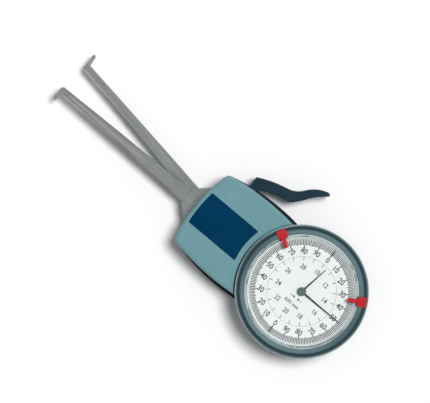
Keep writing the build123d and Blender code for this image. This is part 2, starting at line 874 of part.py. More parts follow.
with BuildPart() as idler_arbor:
    disc(small_pivot, lower_bridge_bottom + side_gap, idler_foot, idler_place)
    disc(idler_radius, idler_foot, idler_head, idler_place)
    disc(small_pivot, idler_head, upper_bridge_top - side_gap, idler_place)
    disc(idler_flange, reduction_bottom + reduction_thickness, transfer_bottom, idler_place)
    with BuildSketch(Plane.XY.offset(moving_bottom)):
        add(toothed_plan(idler_leaves, sector_module, half_tooth / idler_leaves, leaf_shares, idler_place))
    extrude(amount=idler_pinion_height)
save(idler_arbor, "idler_arbor")


with BuildPart() as reduction_wheel:
    with BuildSketch(Plane.XY.offset(reduction_bottom)):
        add(toothed_plan(reduction_teeth, wheel_module, 0, wheel_shares, idler_place))
        with Locations(idler_place):
            Circle(idler_radius + push_fit, mode=Mode.SUBTRACT)
    extrude(amount=reduction_thickness)
save(reduction_wheel, "reduction_wheel")


with BuildPart() as transfer_wheel:
    with BuildSketch(Plane.XY.offset(transfer_bottom)):
        add(toothed_plan(transfer_teeth, wheel_module, 0, leaf_shares, idler_place))
        with Locations(idler_place):
            Circle(idler_radius + push_fit, mode=Mode.SUBTRACT)
    extrude(amount=transfer_thickness)
save(transfer_wheel, "transfer_wheel")


spring_start = collet_radius + 3 * spring_half
spring_finish = stud_reach - stud_radius - spring_half - push_fit


def spiral_points(side):
    steps = int(spring_turns * steps_per_turn)
    growth = (spring_finish - spring_start) / steps
    return [
        polar(spring_start + side * spring_half + growth * step, 360 * step / steps_per_turn, idler_place)
        for step in range(steps + 1)
    ]


with BuildPart() as hairspring_collet:
    disc(collet_radius, transfer_bottom + transfer_thickness, idler_head - running_fit, idler_place)
    disc(idler_radius + push_fit, transfer_bottom, idler_head, idler_place, mode=Mode.SUBTRACT)
save(hairspring_collet, "hairspring_collet")


with BuildPart() as hairspring:
    with BuildSketch(Plane.XY.offset(spring_bottom)):
        with BuildLine():
            Polyline(*spiral_points(1), *reversed(spiral_points(-1)), close=True)
        make_face()
    extrude(amount=spring_height)
save(hairspring, "hairspring")


with BuildPart() as hairspring_stud:
    disc(stud_radius, spring_bottom, upper_bridge_bottom, stud_place)
    disc(stud_radius / 2, upper_bridge_bottom, upper_bridge_top, stud_place)
save(hairspring_stud, "hairspring_stud")


# Centre arbor with its pinion, and the tube that turns round it
tube_bore = centre_radius + running_fit
tube_top = short_pointer_bottom + pointer_thickness
arbor_top = long_pointer_bottom + pointer_thickness + side_gap
centre_pinion_bottom = reduction_bottom - centre_pinion_drop
centre_pinion_top = transfer_bottom - side_gap

with BuildPart() as centre_bush:
    disc(centre_bush_radius, frame_bottom, frame_top, centre_place)
    disc(small_pivot + running_fit, frame_bottom, frame_top, centre_place, mode=Mode.SUBTRACT)
save(centre_bush, "centre_bush")


with BuildPart() as centre_arbor:
    disc(small_pivot, frame_bottom + cover_gap, frame_top + side_gap, centre_place)
    disc(centre_radius, frame_top + side_gap, arbor_top, centre_place)
    leaf_heading = half_tooth / centre_leaves
    with BuildSketch(Plane.XY.offset(centre_pinion_bottom)):
        add(toothed_plan(centre_leaves, wheel_module, leaf_heading, leaf_shares, centre_place))
    extrude(amount=centre_pinion_top - centre_pinion_bottom)
save(centre_arbor, "centre_arbor")


with BuildPart() as pointer_tube:
    disc(tube_radius, transfer_bottom, tube_top, centre_place)
    disc(tube_shoulder, transfer_bottom + transfer_thickness, upper_bridge_bottom - side_gap, centre_place)
    disc(tube_bore, transfer_bottom, tube_top, centre_place, mode=Mode.SUBTRACT)
save(pointer_tube, "pointer_tube")


with BuildPart() as tube_wheel:
    tube_heading = centre_heading + half_tooth / transfer_teeth
    with BuildSketch(Plane.XY.offset(transfer_bottom)):
        add(toothed_plan(transfer_teeth, wheel_module, tube_heading, leaf_shares, centre_place))
        Circle(tube_radius + push_fit, mode=Mode.SUBTRACT)
    extrude(amount=transfer_thickness)
save(tube_wheel, "tube_wheel")


def pointer(reach, angle, hub, bore, bottom):
    with BuildPart(mode=Mode.PRIVATE) as needle:
        with BuildSketch(Plane.XY.offset(bottom).rotated((0, 0, angle))):
            with BuildLine():
                Polyline(
                    (0, -pointer_root_half),
                    (reach - pointer_root_half, -pointer_tip_half),
                    (reach, 0),
                    (reach - pointer_root_half, pointer_tip_half),
                    (0, pointer_root_half),
                    close=True,
                )
            make_face()
            Circle(hub)
            Circle(bore, mode=Mode.SUBTRACT)
        extrude(amount=pointer_thickness)
    return needle.part


with BuildPart() as short_pointer:
    bore = tube_radius + push_fit
    add(pointer(short_pointer_reach, short_pointer_angle, short_pointer_hub, bore, short_pointer_bottom))
save(short_pointer, "short_pointer")


with BuildPart() as long_pointer:
    bore = centre_radius + push_fit
    add(pointer(long_pointer_reach, long_pointer_angle, long_pointer_hub, bore, long_pointer_bottom))
save(long_pointer, "long_pointer")


with BuildPart() as pointer_cap:
    cap_bottom = long_pointer_bottom + pointer_thickness
    disc(cap_radius, cap_bottom, cap_bottom + cap_height)
    chamfer(pointer_cap.faces().sort_by(Axis.Z)[-1].edges(), cap_height / 2)
    disc(centre_radius + push_fit, cap_bottom, cap_bottom + side_gap + push_fit, mode=Mode.SUBTRACT)
save(pointer_cap, "pointer_cap")


# Release lever: finger inside the case, blade outside it; the finger is drawn as it stands half way pressed
finger_face = pivot_place[0] + push_radius + lever_play
finger_shape = [
    (finger_face, ear_length - finger_below),
    (finger_face, ear_length + finger_above),
    finger_front_root,
    finger_rear_root,
    (finger_face + finger_width, ear_length + finger_above - finger_slope),
    (finger_face + finger_width, ear_length - finger_below),
]

with BuildPart() as release_lever:
    with BuildSketch(Plane.XY.offset(lever_bottom)) as blade:
        with BuildLine():
            back_line = ThreePointArc(lever_heel, lever_back, lever_dip)
            dip_line = TangentArc(lever_dip, lever_rise, tangent=back_line % 1)
            TangentArc(lever_rise, lever_crest, tangent=dip_line % 1)
            Line(lever_crest, lever_tip)
            ThreePointArc(lever_tip, lever_palm, lever_bend)
            Polyline(
                lever_bend,
                *lever_belly,
                (lever_place[0] + lever_hub, lever_place[1]),
                (lever_place[0] - lever_hub, lever_place[1]),
                lever_heel,
            )
        make_face()
        for corner, rounding in zip(lever_belly, belly_rounds):
            fillet(blade.vertices().sort_by_distance((*corner, lever_bottom))[0], rounding)
        fillet(blade.vertices().sort_by_distance((*lever_crest, lever_bottom))[:2], tip_round)
    extrude(amount=lever_top - lever_bottom)
    chamfer(release_lever.faces().sort_by(Axis.Z)[-1].edges(), lever_edge)
    disc(lever_hub, lever_bottom, lever_top, lever_place)
    with BuildSketch(Plane.XY.offset(finger_bottom)):
        with BuildLine():
            Polyline(*[turned(point, lever_half_travel, lever_place) for point in finger_shape], close=True)
        make_face()
    extrude(amount=finger_height)
    disc(
        lever_pin_radius + running_fit + bush_wall + push_fit,
        lever_bottom,
        lever_top,
        lever_place,
        mode=Mode.SUBTRACT,
    )
save(release_lever, "release_lever")


with BuildPart() as lever_bush:
    disc(lever_pin_radius + running_fit + bush_wall, lever_bottom, lever_top, lever_place)
    disc(lever_pin_radius + running_fit, lever_bottom, lever_top, lever_place, mode=Mode.SUBTRACT)
save(lever_bush, "lever_bush")


with BuildPart() as lever_pin:
    disc(lever_pin_radius, floor_top, lever_pin_top, lever_place)
save(lever_pin, "lever_pin")


# Bezel with crystal and dial, held on the case's collar by a snap ring
with BuildPart() as bezel_ring:
    with BuildSketch(Plane.XZ) as section:
        with BuildLine():
            Polyline(
                (skirt_outer, bezel_bottom),
                (bezel_radius, bezel_bottom),
                (bezel_radius, rim_top),
                (groove_outer + groove_lip, rim_top),
                (groove_outer, rim_top - groove_lip),
                (groove_outer, groove_floor),
                (groove_inner, groove_floor),
                (groove_inner, ring_top - groove_lip),
                (groove_inner - groove_lip, ring_top),
                (crystal_radius + side_gap, ring_top - ring_fall),
                (crystal_radius + side_gap, crystal_seat),
                (dial_radius + side_gap, crystal_seat),
                (dial_radius + side_gap, dial_bottom),
                (dial_radius - ledge_width, dial_bottom),
                (dial_radius - ledge_width, dial_bottom - ledge_thickness),
                (skirt_inner, dial_bottom - ledge_thickness),
                (skirt_inner, collar_top + side_gap),
                (skirt_outer, collar_top + side_gap),
                (skirt_outer, snap_bottom + snap_height + side_gap),
                (snap_outer + side_gap, snap_bottom + snap_height + side_gap),
                (snap_outer + side_gap, snap_bottom - side_gap),
                (skirt_outer, snap_bottom - side_gap),
                close=True,
            )
        make_face()
        fillet(section.vertices().sort_by_distance((bezel_radius, rim_top))[0], rim_edge)
    revolve(axis=Axis.Z)
save(bezel_ring, "bezel_ring")


with BuildPart() as snap_ring:
    disc(snap_outer, snap_bottom, snap_bottom + snap_height)
    disc(snap_inner, snap_bottom, snap_bottom + snap_height, mode=Mode.SUBTRACT)
    with Locations((-snap_outer, 0, snap_bottom)):
        Box(
            2 * snap_gap,
            snap_gap,
            snap_height,
            align=(Align.CENTER, Align.CENTER, Align.MIN),
            mode=Mode.SUBTRACT,
        )
save(snap_ring, "snap_ring")


with BuildPart() as dial_plate:
    disc(dial_radius, dial_bottom, dial_top)
    disc(dial_hole, dial_bottom, dial_top, mode=Mode.SUBTRACT)
save(dial_plate, "dial_plate")


with BuildPart() as dial_ring:
    with BuildSketch(Plane.XZ):
        with BuildLine():
            Polyline(
                (dial_radius - ring_width, dial_top),
                (dial_radius, dial_top),
                (dial_radius, crystal_seat),
                (dial_radius - running_fit - ring_land, crystal_seat),
                close=True,
            )
        make_face()
    revolve(axis=Axis.Z)
save(dial_ring, "dial_ring")


with BuildPart() as crystal_gasket:
    disc(crystal_radius, crystal_seat, crystal_seat + gasket_thickness)
    disc(dial_radius + side_gap, crystal_seat, crystal_seat + gasket_thickness, mode=Mode.SUBTRACT)
save(crystal_gasket, "crystal_gasket")


with BuildPart() as crystal:
    with BuildSketch(Plane.XZ):
        with BuildLine():
            Polyline(
                (0, crystal_seat + gasket_thickness),
                (crystal_radius, crystal_seat + gasket_thickness),
                (crystal_radius, crystal_top - crystal_drop),
                (crystal_radius - crystal_bevel, crystal_top),
                (0, crystal_top),
                close=True,
            )
        make_face()
    revolve(axis=Axis.Z)
save(crystal, "crystal")


for side, angle in marker_angles.items():
    foot_bottom = groove_floor + cover_gap
    head_length = groove_outer - side_gap - marker_inner
    with BuildPart() as tolerance_marker:
        with BuildSketch(Plane.XY.offset(marker_bottom).rotated((0, 0, angle))):
            with Locations((marker_inner, 0)):
                Rectangle(head_length, marker_width, align=(Align.MIN, Align.CENTER))
        extrude(amount=marker_height)
        chamfer(tolerance_marker.faces().sort_by(Axis.Z)[-1].edges(), marker_edge)
        with BuildSketch(Plane.XY.offset(foot_bottom).rotated((0, 0, angle))):
            with Locations(((groove_inner + groove_outer) / 2, 0)):
                Rectangle(groove_width - 2 * side_gap, marker_foot_width)
        extrude(amount=marker_bottom - foot_bottom)
        with BuildSketch(Plane.XY.offset(tongue_bottom).rotated((0, 0, angle))):
            with BuildLine():
                Polyline(
                    (tongue_tip, -tongue_tip_half),
                    (marker_inner + 2 * marker_edge, -tongue_root_half),
                    (marker_inner + 2 * marker_edge, tongue_root_half),
                    (tongue_tip, tongue_tip_half),
                    close=True,
                )
            make_face()
        extrude(amount=tongue_height)
    save(tolerance_marker, f"tolerance_marker_{side}")
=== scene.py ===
import bpy
import math
import numpy as np
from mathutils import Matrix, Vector


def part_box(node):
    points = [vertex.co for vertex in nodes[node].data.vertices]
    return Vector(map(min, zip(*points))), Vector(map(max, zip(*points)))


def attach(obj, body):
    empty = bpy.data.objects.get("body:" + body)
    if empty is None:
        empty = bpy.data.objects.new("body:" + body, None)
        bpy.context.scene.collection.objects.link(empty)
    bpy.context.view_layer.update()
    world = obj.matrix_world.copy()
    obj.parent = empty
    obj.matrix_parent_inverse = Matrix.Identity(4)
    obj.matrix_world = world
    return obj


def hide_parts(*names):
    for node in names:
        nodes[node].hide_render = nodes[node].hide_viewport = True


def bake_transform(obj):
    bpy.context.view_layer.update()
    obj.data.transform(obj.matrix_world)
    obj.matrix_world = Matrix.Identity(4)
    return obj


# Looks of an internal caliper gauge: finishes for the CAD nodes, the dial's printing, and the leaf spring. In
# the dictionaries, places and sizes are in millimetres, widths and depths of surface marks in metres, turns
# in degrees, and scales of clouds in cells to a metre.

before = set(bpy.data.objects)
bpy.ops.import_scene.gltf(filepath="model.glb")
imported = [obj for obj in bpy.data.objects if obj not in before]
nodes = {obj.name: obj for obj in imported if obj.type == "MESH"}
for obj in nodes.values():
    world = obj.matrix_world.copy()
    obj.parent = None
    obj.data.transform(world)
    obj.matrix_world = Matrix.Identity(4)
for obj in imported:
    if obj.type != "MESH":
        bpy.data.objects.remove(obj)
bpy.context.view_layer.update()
mm = 0.001


# Small helpers for node trees

def put(tree, kind, inputs=None, **settings):
    # One shader node: its settings first, then each input is linked if it is a socket and set otherwise
    node = tree.nodes.new("ShaderNode" + kind)
    for name, value in settings.items():
        setattr(node, name, value)
    join(tree, node, inputs or {})
    return node


def join(tree, node, inputs):
    # Each input of the node is linked if its value is a socket, and set otherwise
    for name, value in inputs.items():
        if isinstance(value, bpy.types.NodeSocket):
            tree.links.new(value, node.inputs[name])
        else:
            node.inputs[name].default_value = value


def work(tree, operation, first, second=0.0):
    # first and second combined by one Math node
    return put(tree, "Math", {0: first, 1: second}, operation=operation).outputs[0]


def times(tree, first, *others):
    # first * each of the others
    for other in others:
        first = work(tree, "MULTIPLY", first, other)
    return first


def plus(tree, first, *others):
    # first + each of the others
    for other in others:
        first = work(tree, "ADD", first, other)
    return first


def remap(tree, value, low, high, toLow, toHigh):
    # value's range low..high carried to toLow..toHigh and held inside it
    sockets = {"Value": value, "From Min": low, "From Max": high, "To Min": toLow, "To Max": toHigh}
    return put(tree, "MapRange", sockets).outputs[0]


def mixed(tree, amount, first, second):
    # first colour where amount is 0, second where it is 1
    return put(tree, "Mix", {0: amount, 6: first, 7: second}, data_type="RGBA").outputs[2]


def noise(tree, where, scale, detail, **more):
    # Value of a cloud at where, with scale cells to its unit and detail layers of finer ones
    return put(tree, "TexNoise", {"Vector": where, "Scale": scale, "Detail": detail, **more}).outputs[0]


def objectPlace(tree):
    # Place of a point on its piece, in metres
    return put(tree, "TexCoord").outputs["Object"]


def parted(tree, vector):
    # The three parts of a vector
    return put(tree, "SeparateXYZ", {0: vector}).outputs


def fromAxis(tree, parts):
    # Distance of a place from the upright axis, and the flat vector to it
    flat = put(tree, "CombineXYZ", {0: parts[0], 1: parts[1]}).outputs[0]
    return put(tree, "VectorMath", {0: flat}, operation="LENGTH").outputs["Value"], flat


def uprightShare(tree):
    # Third part of the normal: 1 on a level top, 0 on an upright side
    return parted(tree, put(tree, "NewGeometry").outputs["Normal"])[2]


def newGroup(name, inputs, outputs):
    # An empty shader group with named sockets; inputs are (name, kind, value), outputs are (name, kind)
    group = bpy.data.node_groups.new(name, "ShaderNodeTree")
    for title, kind, value in inputs:
        socket = group.interface.new_socket(title, in_out="INPUT", socket_type="NodeSocket" + kind)
        if value is not None:
            socket.default_value = value
    for title, kind in outputs:
        group.interface.new_socket(title, in_out="OUTPUT", socket_type="NodeSocket" + kind)
    entry = group.nodes.new("NodeGroupInput")
    leave = group.nodes.new("NodeGroupOutput")
    return group, entry.outputs, leave.inputs


def applied(tree, group, inputs):
    # The group used in a material with its own values
    node = tree.nodes.new("ShaderNodeGroup")
    node.node_tree = group
    join(tree, node, inputs)
    return node.outputs


# Effects that several materials share. A band is the range in which most of a cloud's values lie.

driftCloud = {"broad": 0.6, "fine": 0.4, "finer": 11.0, "band": (0.36, 0.64)}


def makeColourDrift(look):
    # Colour = Base + (Other - Base) * Amount * (broad share of a cloud + fine share of a finer cloud)
    tree, entry, leave = newGroup(
        "colourDrift",
        [("Base", "Color", (0.5, 0.5, 0.5, 1)), ("Other", "Color", (0.5, 0.5, 0.5, 1)),
         ("Scale", "Float", 60.0), ("Amount", "Float", 1.0)],
        [("Colour", "Color")])
    where = objectPlace(tree)
    broad = noise(tree, where, entry["Scale"], 3.0)
    fine = noise(tree, where, times(tree, entry["Scale"], look["finer"]), 2.0)
    cloud = plus(tree, times(tree, broad, look["broad"]), times(tree, fine, look["fine"]))
    share = times(tree, remap(tree, cloud, *look["band"], 0.0, 1.0), entry["Amount"])
    tree.links.new(mixed(tree, share, entry["Base"], entry["Other"]), leave["Colour"])
    return tree


rubbedEdge = {"samples": 6, "turn": (0.99, 0.80), "band": (0.38, 0.62), "least": 0.25}


def makeWornEdge(look):
    # Mask = how far the rounded normal turns from the true one, broken up by a cloud, times Amount
    tree, entry, leave = newGroup(
        "wornEdge",
        [("Width", "Float", 0.0004), ("Breakup", "Float", 400.0), ("Amount", "Float", 1.0)],
        [("Mask", "Float")])
    rounded = put(tree, "Bevel", {"Radius": entry["Width"]}, samples=look["samples"]).outputs[0]
    normal = put(tree, "NewGeometry").outputs["Normal"]
    facing = put(tree, "VectorMath", {0: rounded, 1: normal}, operation="DOT_PRODUCT").outputs["Value"]
    turn = remap(tree, facing, *look["turn"], 0.0, 1.0)
    cloud = noise(tree, objectPlace(tree), entry["Breakup"], 4.0)
    kept = remap(tree, cloud, *look["band"], look["least"], 1.0)
    tree.links.new(times(tree, turn, kept, entry["Amount"]), leave["Mask"])
    return tree


mouldRipple = {"wider": 0.04, "middle": 0.5}


def makeMouldGrain(look):
    # Height = fine cells of the mould's texture plus a faint long ripple; Gloss = the same cells around 0
    tree, entry, leave = newGroup(
        "mouldGrain", [("Scale", "Float", 2500.0)], [("Height", "Float"), ("Gloss", "Float")])
    where = objectPlace(tree)
    cells = noise(tree, where, entry["Scale"], 2.0)
    ripple = noise(tree, where, times(tree, entry["Scale"], look["wider"]), 1.0)
    tree.links.new(plus(tree, cells, ripple), leave["Height"])
    tree.links.new(work(tree, "SUBTRACT", cells, look["middle"]), leave["Gloss"])
    return tree


fingerPatch = {"distortion": 0.8, "band": (0.35, 0.65), "swing": (-0.5, 0.5)}


def makeSmudges(look):
    # Gloss = broad soft patches, as fingers leave them, around 0
    tree, entry, leave = newGroup("smudges", [("Scale", "Float", 140.0)], [("Gloss", "Float")])
    patch = noise(tree, objectPlace(tree), entry["Scale"], 5.0, Distortion=look["distortion"])
    tree.links.new(remap(tree, patch, *look["band"], *look["swing"]), leave["Gloss"])
    return tree


grinding = {"roughness": 0.6, "wider": 0.17, "lines": 0.6, "bands": 0.4, "band": (0.35, 0.65)}


def makeGroundMarks(look):
    # Height = noise of Vector, whose axes are scaled before, so its marks run along the first; Streak = the
    # band of lines * that noise + bands * a wider one
    tree, entry, leave = newGroup(
        "groundMarks", [("Vector", "Vector", None)], [("Height", "Float"), ("Streak", "Float")])
    lines = noise(tree, entry["Vector"], 1.0, 3.0, Roughness=look["roughness"])
    wide = put(tree, "VectorMath", {0: entry["Vector"], 3: look["wider"]}, operation="SCALE").outputs[0]
    bands = noise(tree, wide, 1.0, 2.0)
    tree.links.new(lines, leave["Height"])
    both = plus(tree, times(tree, lines, look["lines"]), times(tree, bands, look["bands"]))
    tree.links.new(remap(tree, both, *look["band"], 0.0, 1.0), leave["Streak"])
    return tree


latheRings = {"band": (0.35, 0.65)}


def makeTurnedMarks(look):
    # Height = noise of (heading round the axis, (distance from the axis + height) / Pitch), so it changes
    # outwards and upwards and hardly round the axis; Streak = its band
    tree, entry, leave = newGroup(
        "turnedMarks", [("Vector", "Vector", None), ("Pitch", "Float", 0.0002)],
        [("Height", "Float"), ("Streak", "Float")])
    parts = parted(tree, entry["Vector"])
    reach, flat = fromAxis(tree, parts)
    heading = parted(tree, put(tree, "VectorMath", {0: flat}, operation="NORMALIZE").outputs[0])
    depth = work(tree, "DIVIDE", plus(tree, reach, parts[2]), entry["Pitch"])
    groove = put(tree, "CombineXYZ", {0: heading[0], 1: heading[1], 2: depth}).outputs[0]
    lines = noise(tree, groove, 1.0, 3.0)
    tree.links.new(lines, leave["Height"])
    tree.links.new(remap(tree, lines, *look["band"], 0.0, 1.0), leave["Streak"])
    return tree


colourDrift = makeColourDrift(driftCloud)
wornEdge = makeWornEdge(rubbedEdge)
mouldGrain = makeMouldGrain(mouldRipple)
smudges = makeSmudges(fingerPatch)
groundMarks = makeGroundMarks(grinding)
turnedMarks = makeTurnedMarks(latheRings)
print("effects: six node groups")


# Finishes

def blank(name):
    # A material with nothing in it but its output
    material = bpy.data.materials.new(name)
    material.use_nodes = True
    tree = material.node_tree
    tree.nodes.clear()
    return material, tree, tree.nodes.new("ShaderNodeOutputMaterial")


def opaque(colour):
    # The colour with an alpha of 1
    return (*colour, 1.0)


def driftingColour(tree, base, other, scale):
    # Colour that wanders between base and other
    sockets = {"Base": opaque(base), "Other": opaque(other), "Scale": scale}
    return applied(tree, colourDrift, sockets)["Colour"]


def edgeWear(tree, look):
    # Mask of the edges that handling has rubbed
    return applied(tree, wornEdge, {"Width": look["edge"], "Amount": look["wear"]})["Mask"]


def shaded(tree, out, height, bump, depth, sockets):
    # A Principled shader on the material's output, with its normal bumped by height
    normal = put(tree, "Bump", {"Height": height, "Strength": bump, "Distance": depth}).outputs[0]
    shader = put(tree, "BsdfPrincipled", {**sockets, "Normal": normal})
    tree.links.new(shader.outputs[0], out.inputs[0])


mouldedFinish = {"grain": 0.12, "wearAndSheen": 0.12, "bump": 0.5}


def plastic(name, look):
    # Colour drifts between base and drift, and edges go to rubbed; roughness = rough + grain + smudges - wear
    material, tree, out = blank(name)
    colour = driftingColour(tree, look["base"], look["drift"], look["driftScale"])
    wear = edgeWear(tree, look)
    grain = applied(tree, mouldGrain, {"Scale": look["grain"]})
    smudge = applied(tree, smudges, {"Scale": look["smudgeScale"]})["Gloss"]
    rough = plus(tree, look["rough"], times(tree, grain["Gloss"], mouldedFinish["grain"]),
                 times(tree, smudge, look["smudge"]))
    rough = work(tree, "SUBTRACT", rough, times(tree, wear, mouldedFinish["wearAndSheen"]))
    shaded(tree, out, grain["Height"], mouldedFinish["bump"], look["depth"], {
        "Base Color": mixed(tree, wear, colour, opaque(look["rubbed"])),
        "Roughness": rough, "Specular IOR Level": look["shine"]})
    return material


groundFinish = {"streak": 0.08, "smudge": 0.06, "smudgeScale": 180.0, "wearAndSheen": 0.1, "bump": 0.35}


def groundSteel(name, look):
    # Ground along the arm: the coordinates are turned to the arm and divided by the mark's length and width.
    # Roughness = rough + streaks + smudges - wear
    material, tree, out = blank(name)
    where = objectPlace(tree)
    turn = (0, 0, math.radians(look["turn"]))
    along = put(tree, "Mapping", {"Vector": where, "Rotation": turn, "Scale": look["mark"]},
                vector_type="TEXTURE").outputs[0]
    marks = applied(tree, groundMarks, {"Vector": along})
    drift = driftingColour(tree, look["base"], look["drift"], look["driftScale"])
    colour = mixed(tree, times(tree, marks["Streak"], look["streak"]), drift, opaque(look["light"]))
    # Painted shade and painted highlights: on the flanks, and in lines along the edges
    if "flank" in look:
        colour = hardenedFlanks(tree, where, colour, look["flank"])
    for line in look.get("lines", []):
        colour = groundLine(tree, where, colour, line)
    wear = edgeWear(tree, look)
    smudge = applied(tree, smudges, {"Scale": groundFinish["smudgeScale"]})["Gloss"]
    rough = plus(tree, look["rough"], times(tree, marks["Streak"], groundFinish["streak"]),
                 times(tree, smudge, groundFinish["smudge"]))
    rough = work(tree, "SUBTRACT", rough, times(tree, wear, groundFinish["wearAndSheen"]))
    shaded(tree, out, marks["Height"], groundFinish["bump"], look["depth"], {
        "Base Color": mixed(tree, wear, colour, opaque(look["polished"])),
        "Metallic": look["metal"], "Roughness": rough})
    return material


def hardenedFlanks(tree, where, colour, flank):
    # Painted shade on what slopes away from the ground top, turning to a painted highlight near the tip:
    # tone = the highlight tone at x = tip ... colour at x = full; share = how far the normal leans from
    # upright, and fades over root
    leaning = remap(tree, uprightShare(tree), *flank["lean"], 0.0, 1.0)
    along = parted(tree, where)[0]
    fade = remap(tree, along, flank["tip"] * mm, flank["full"] * mm, 0.0, 1.0)
    tone = mixed(tree, fade, opaque(flank["highlightTone"]), opaque(flank["colour"]))
    start, end = (part * mm for part in flank["root"])
    share = times(tree, leaning, remap(tree, along, start, end, 1.0, 0.0))
    return mixed(tree, share, colour, tone)


lineShape = {"core": 0.3, "fade": 0.85, "upright": 0.5}


def groundLine(tree, where, colour, line):
    # A painted line on what faces up, painted shade where its tone is dark and a painted highlight where it
    # is
    # bright, from one point to another: share = its first ... last value along the line, full over core of
    # its half width and 0 at half, 0 before its start, and fading to 0 from fade of its length on
    start, end = Vector(line["from"]) * mm, Vector(line["to"]) * mm
    half, run = line["half"] * mm, end - start
    turn = (0, 0, math.atan2(run.y, run.x))
    local = put(tree, "Mapping", {"Vector": where, "Location": (*start, 0.0), "Rotation": turn},
                vector_type="TEXTURE").outputs[0]
    along, across = parted(tree, local)[:2]
    aside = work(tree, "ABSOLUTE", across)
    share = times(tree, remap(tree, aside, half * lineShape["core"], half, 1.0, 0.0),
                  remap(tree, along, 0.0, run.length, *line["share"]),
                  remap(tree, along, -half, 0.0, 0.0, 1.0),
                  remap(tree, along, lineShape["fade"] * run.length, run.length, 1.0, 0.0),
                  work(tree, "GREATER_THAN", uprightShare(tree), lineShape["upright"]))
    return mixed(tree, share, colour, opaque(line["tone"]))


turnedFinish = {"driftScale": 200.0, "streak": 0.1, "bump": 0.3}


def turnedMetal(name, look):
    # Turned on a lathe round the given axis: rings of tool marks, and edges polished by handling.
    # Roughness = rough + streaks
    material, tree, out = blank(name)
    where = objectPlace(tree)
    axis = (look["axis"][0] * mm, look["axis"][1] * mm, 0)
    centred = put(tree, "Mapping", {"Vector": where, "Location": axis}, vector_type="TEXTURE").outputs[0]
    marks = applied(tree, turnedMarks, {"Vector": centred, "Pitch": look["pitch"]})
    drift = driftingColour(tree, look["base"], look["drift"], turnedFinish["driftScale"])
    colour = mixed(tree, edgeWear(tree, look), drift, opaque(look["polished"]))
    # On the bezel: painted shade in and beside the groove, and a painted highlight on the rim
    if "groove" in look:
        colour = bezelTones(tree, where, colour, look["groove"], look["rim"])
    rough = plus(tree, look["rough"], times(tree, marks["Streak"], turnedFinish["streak"]))
    shaded(tree, out, marks["Height"], turnedFinish["bump"], look["depth"], {
        "Base Color": colour, "Metallic": look["metal"], "Roughness": rough})
    return material


def bezelTones(tree, where, colour, groove, rim):
    # Painted shade: share of the groove's dark tone = how deep a place lies between its two radii, or how
    # near it is to its inner edge; painted highlight: share of the rim's bright tone = outwards * patches *
    # upwards
    parts = parted(tree, where)
    reach, level = fromAxis(tree, parts)[0], parts[2]
    inner, outer, near, edge = (part * mm for part in groove["between"] + groove["beside"])
    short = work(tree, "LESS_THAN", reach, outer)
    deep = remap(tree, level, groove["top"] * mm, groove["floor"] * mm, 0.0, 1.0)
    inside = times(tree, work(tree, "GREATER_THAN", reach, inner), short, deep)
    shadeBeside = times(tree, remap(tree, reach, near, edge, 0.0, groove["besideShade"]), short)
    # Painted shade: the groove's dark tone deep in the groove and beside its inner edge
    grooveShade = mixed(tree, work(tree, "MAXIMUM", inside, shadeBeside), colour, opaque(groove["colour"]))
    # Painted highlight: the rim's bright tone on the rim and the outer edge of the groove's floor, in patches
    patches = noise(tree, where, rim["patches"], 3.0)
    wearAndSheen = times(tree, remap(tree, reach, rim["from"] * mm, rim["full"] * mm, 0.0, 1.0),
                    remap(tree, patches, *rim["band"], rim["least"], 1.0),
                    remap(tree, level, rim["under"] * mm, rim["above"] * mm, 0.0, 1.0))
    return mixed(tree, wearAndSheen, grooveShade, opaque(rim["colour"]))


def dress(material, *names):
    # The finish goes into every material slot of these CAD nodes
    for name in names:
        for slot in nodes[name].material_slots:
            slot.material = material


# Housing

housing = {
    "base": (0.138, 0.288, 0.318), "drift": (0.158, 0.322, 0.354), "driftScale": 45.0,
    "rubbed": (0.30, 0.46, 0.49), "edge": 0.0006, "wear": 0.35,
    "grain": 2600.0, "depth": 0.00003, "rough": 0.42, "smudge": 0.08, "smudgeScale": 110.0, "shine": 0.4,
}
dress(plastic("housing_blue", housing), "front_housing")

shell = {
    "base": (0.008, 0.013, 0.016), "drift": (0.014, 0.021, 0.025), "driftScale": 70.0,
    "rubbed": (0.04, 0.05, 0.055), "edge": 0.0005, "wear": 0.4,
    "grain": 1900.0, "depth": 0.00005, "rough": 0.55, "smudge": 0.10, "smudgeScale": 130.0, "shine": 0.22,
}
dress(plastic("shell_black", shell), "back_shell")

label = {
    "base": (0.000, 0.033, 0.086), "drift": (0.001, 0.039, 0.098), "driftScale": 60.0,
    "rubbed": (0.05, 0.12, 0.22), "edge": 0.00015, "wear": 0.5,
    "grain": 3600.0, "depth": 0.00001, "rough": 0.45, "smudge": 0.10, "smudgeScale": 150.0, "shine": 0.05,
}
dress(plastic("label_navy", label), "name_plate")

lever = {
    "base": (0.010, 0.028, 0.043), "drift": (0.017, 0.040, 0.058), "driftScale": 90.0,
    "rubbed": (0.06, 0.10, 0.13), "edge": 0.0005, "wear": 0.5,
    "grain": 2200.0, "depth": 0.00004, "rough": 0.50, "smudge": 0.12, "smudgeScale": 160.0, "shine": 0.22,
}
dress(plastic("lever_slate", lever), "release_lever")
print("finishes: housing, shell, label, lever")


# Measuring arms and their contacts

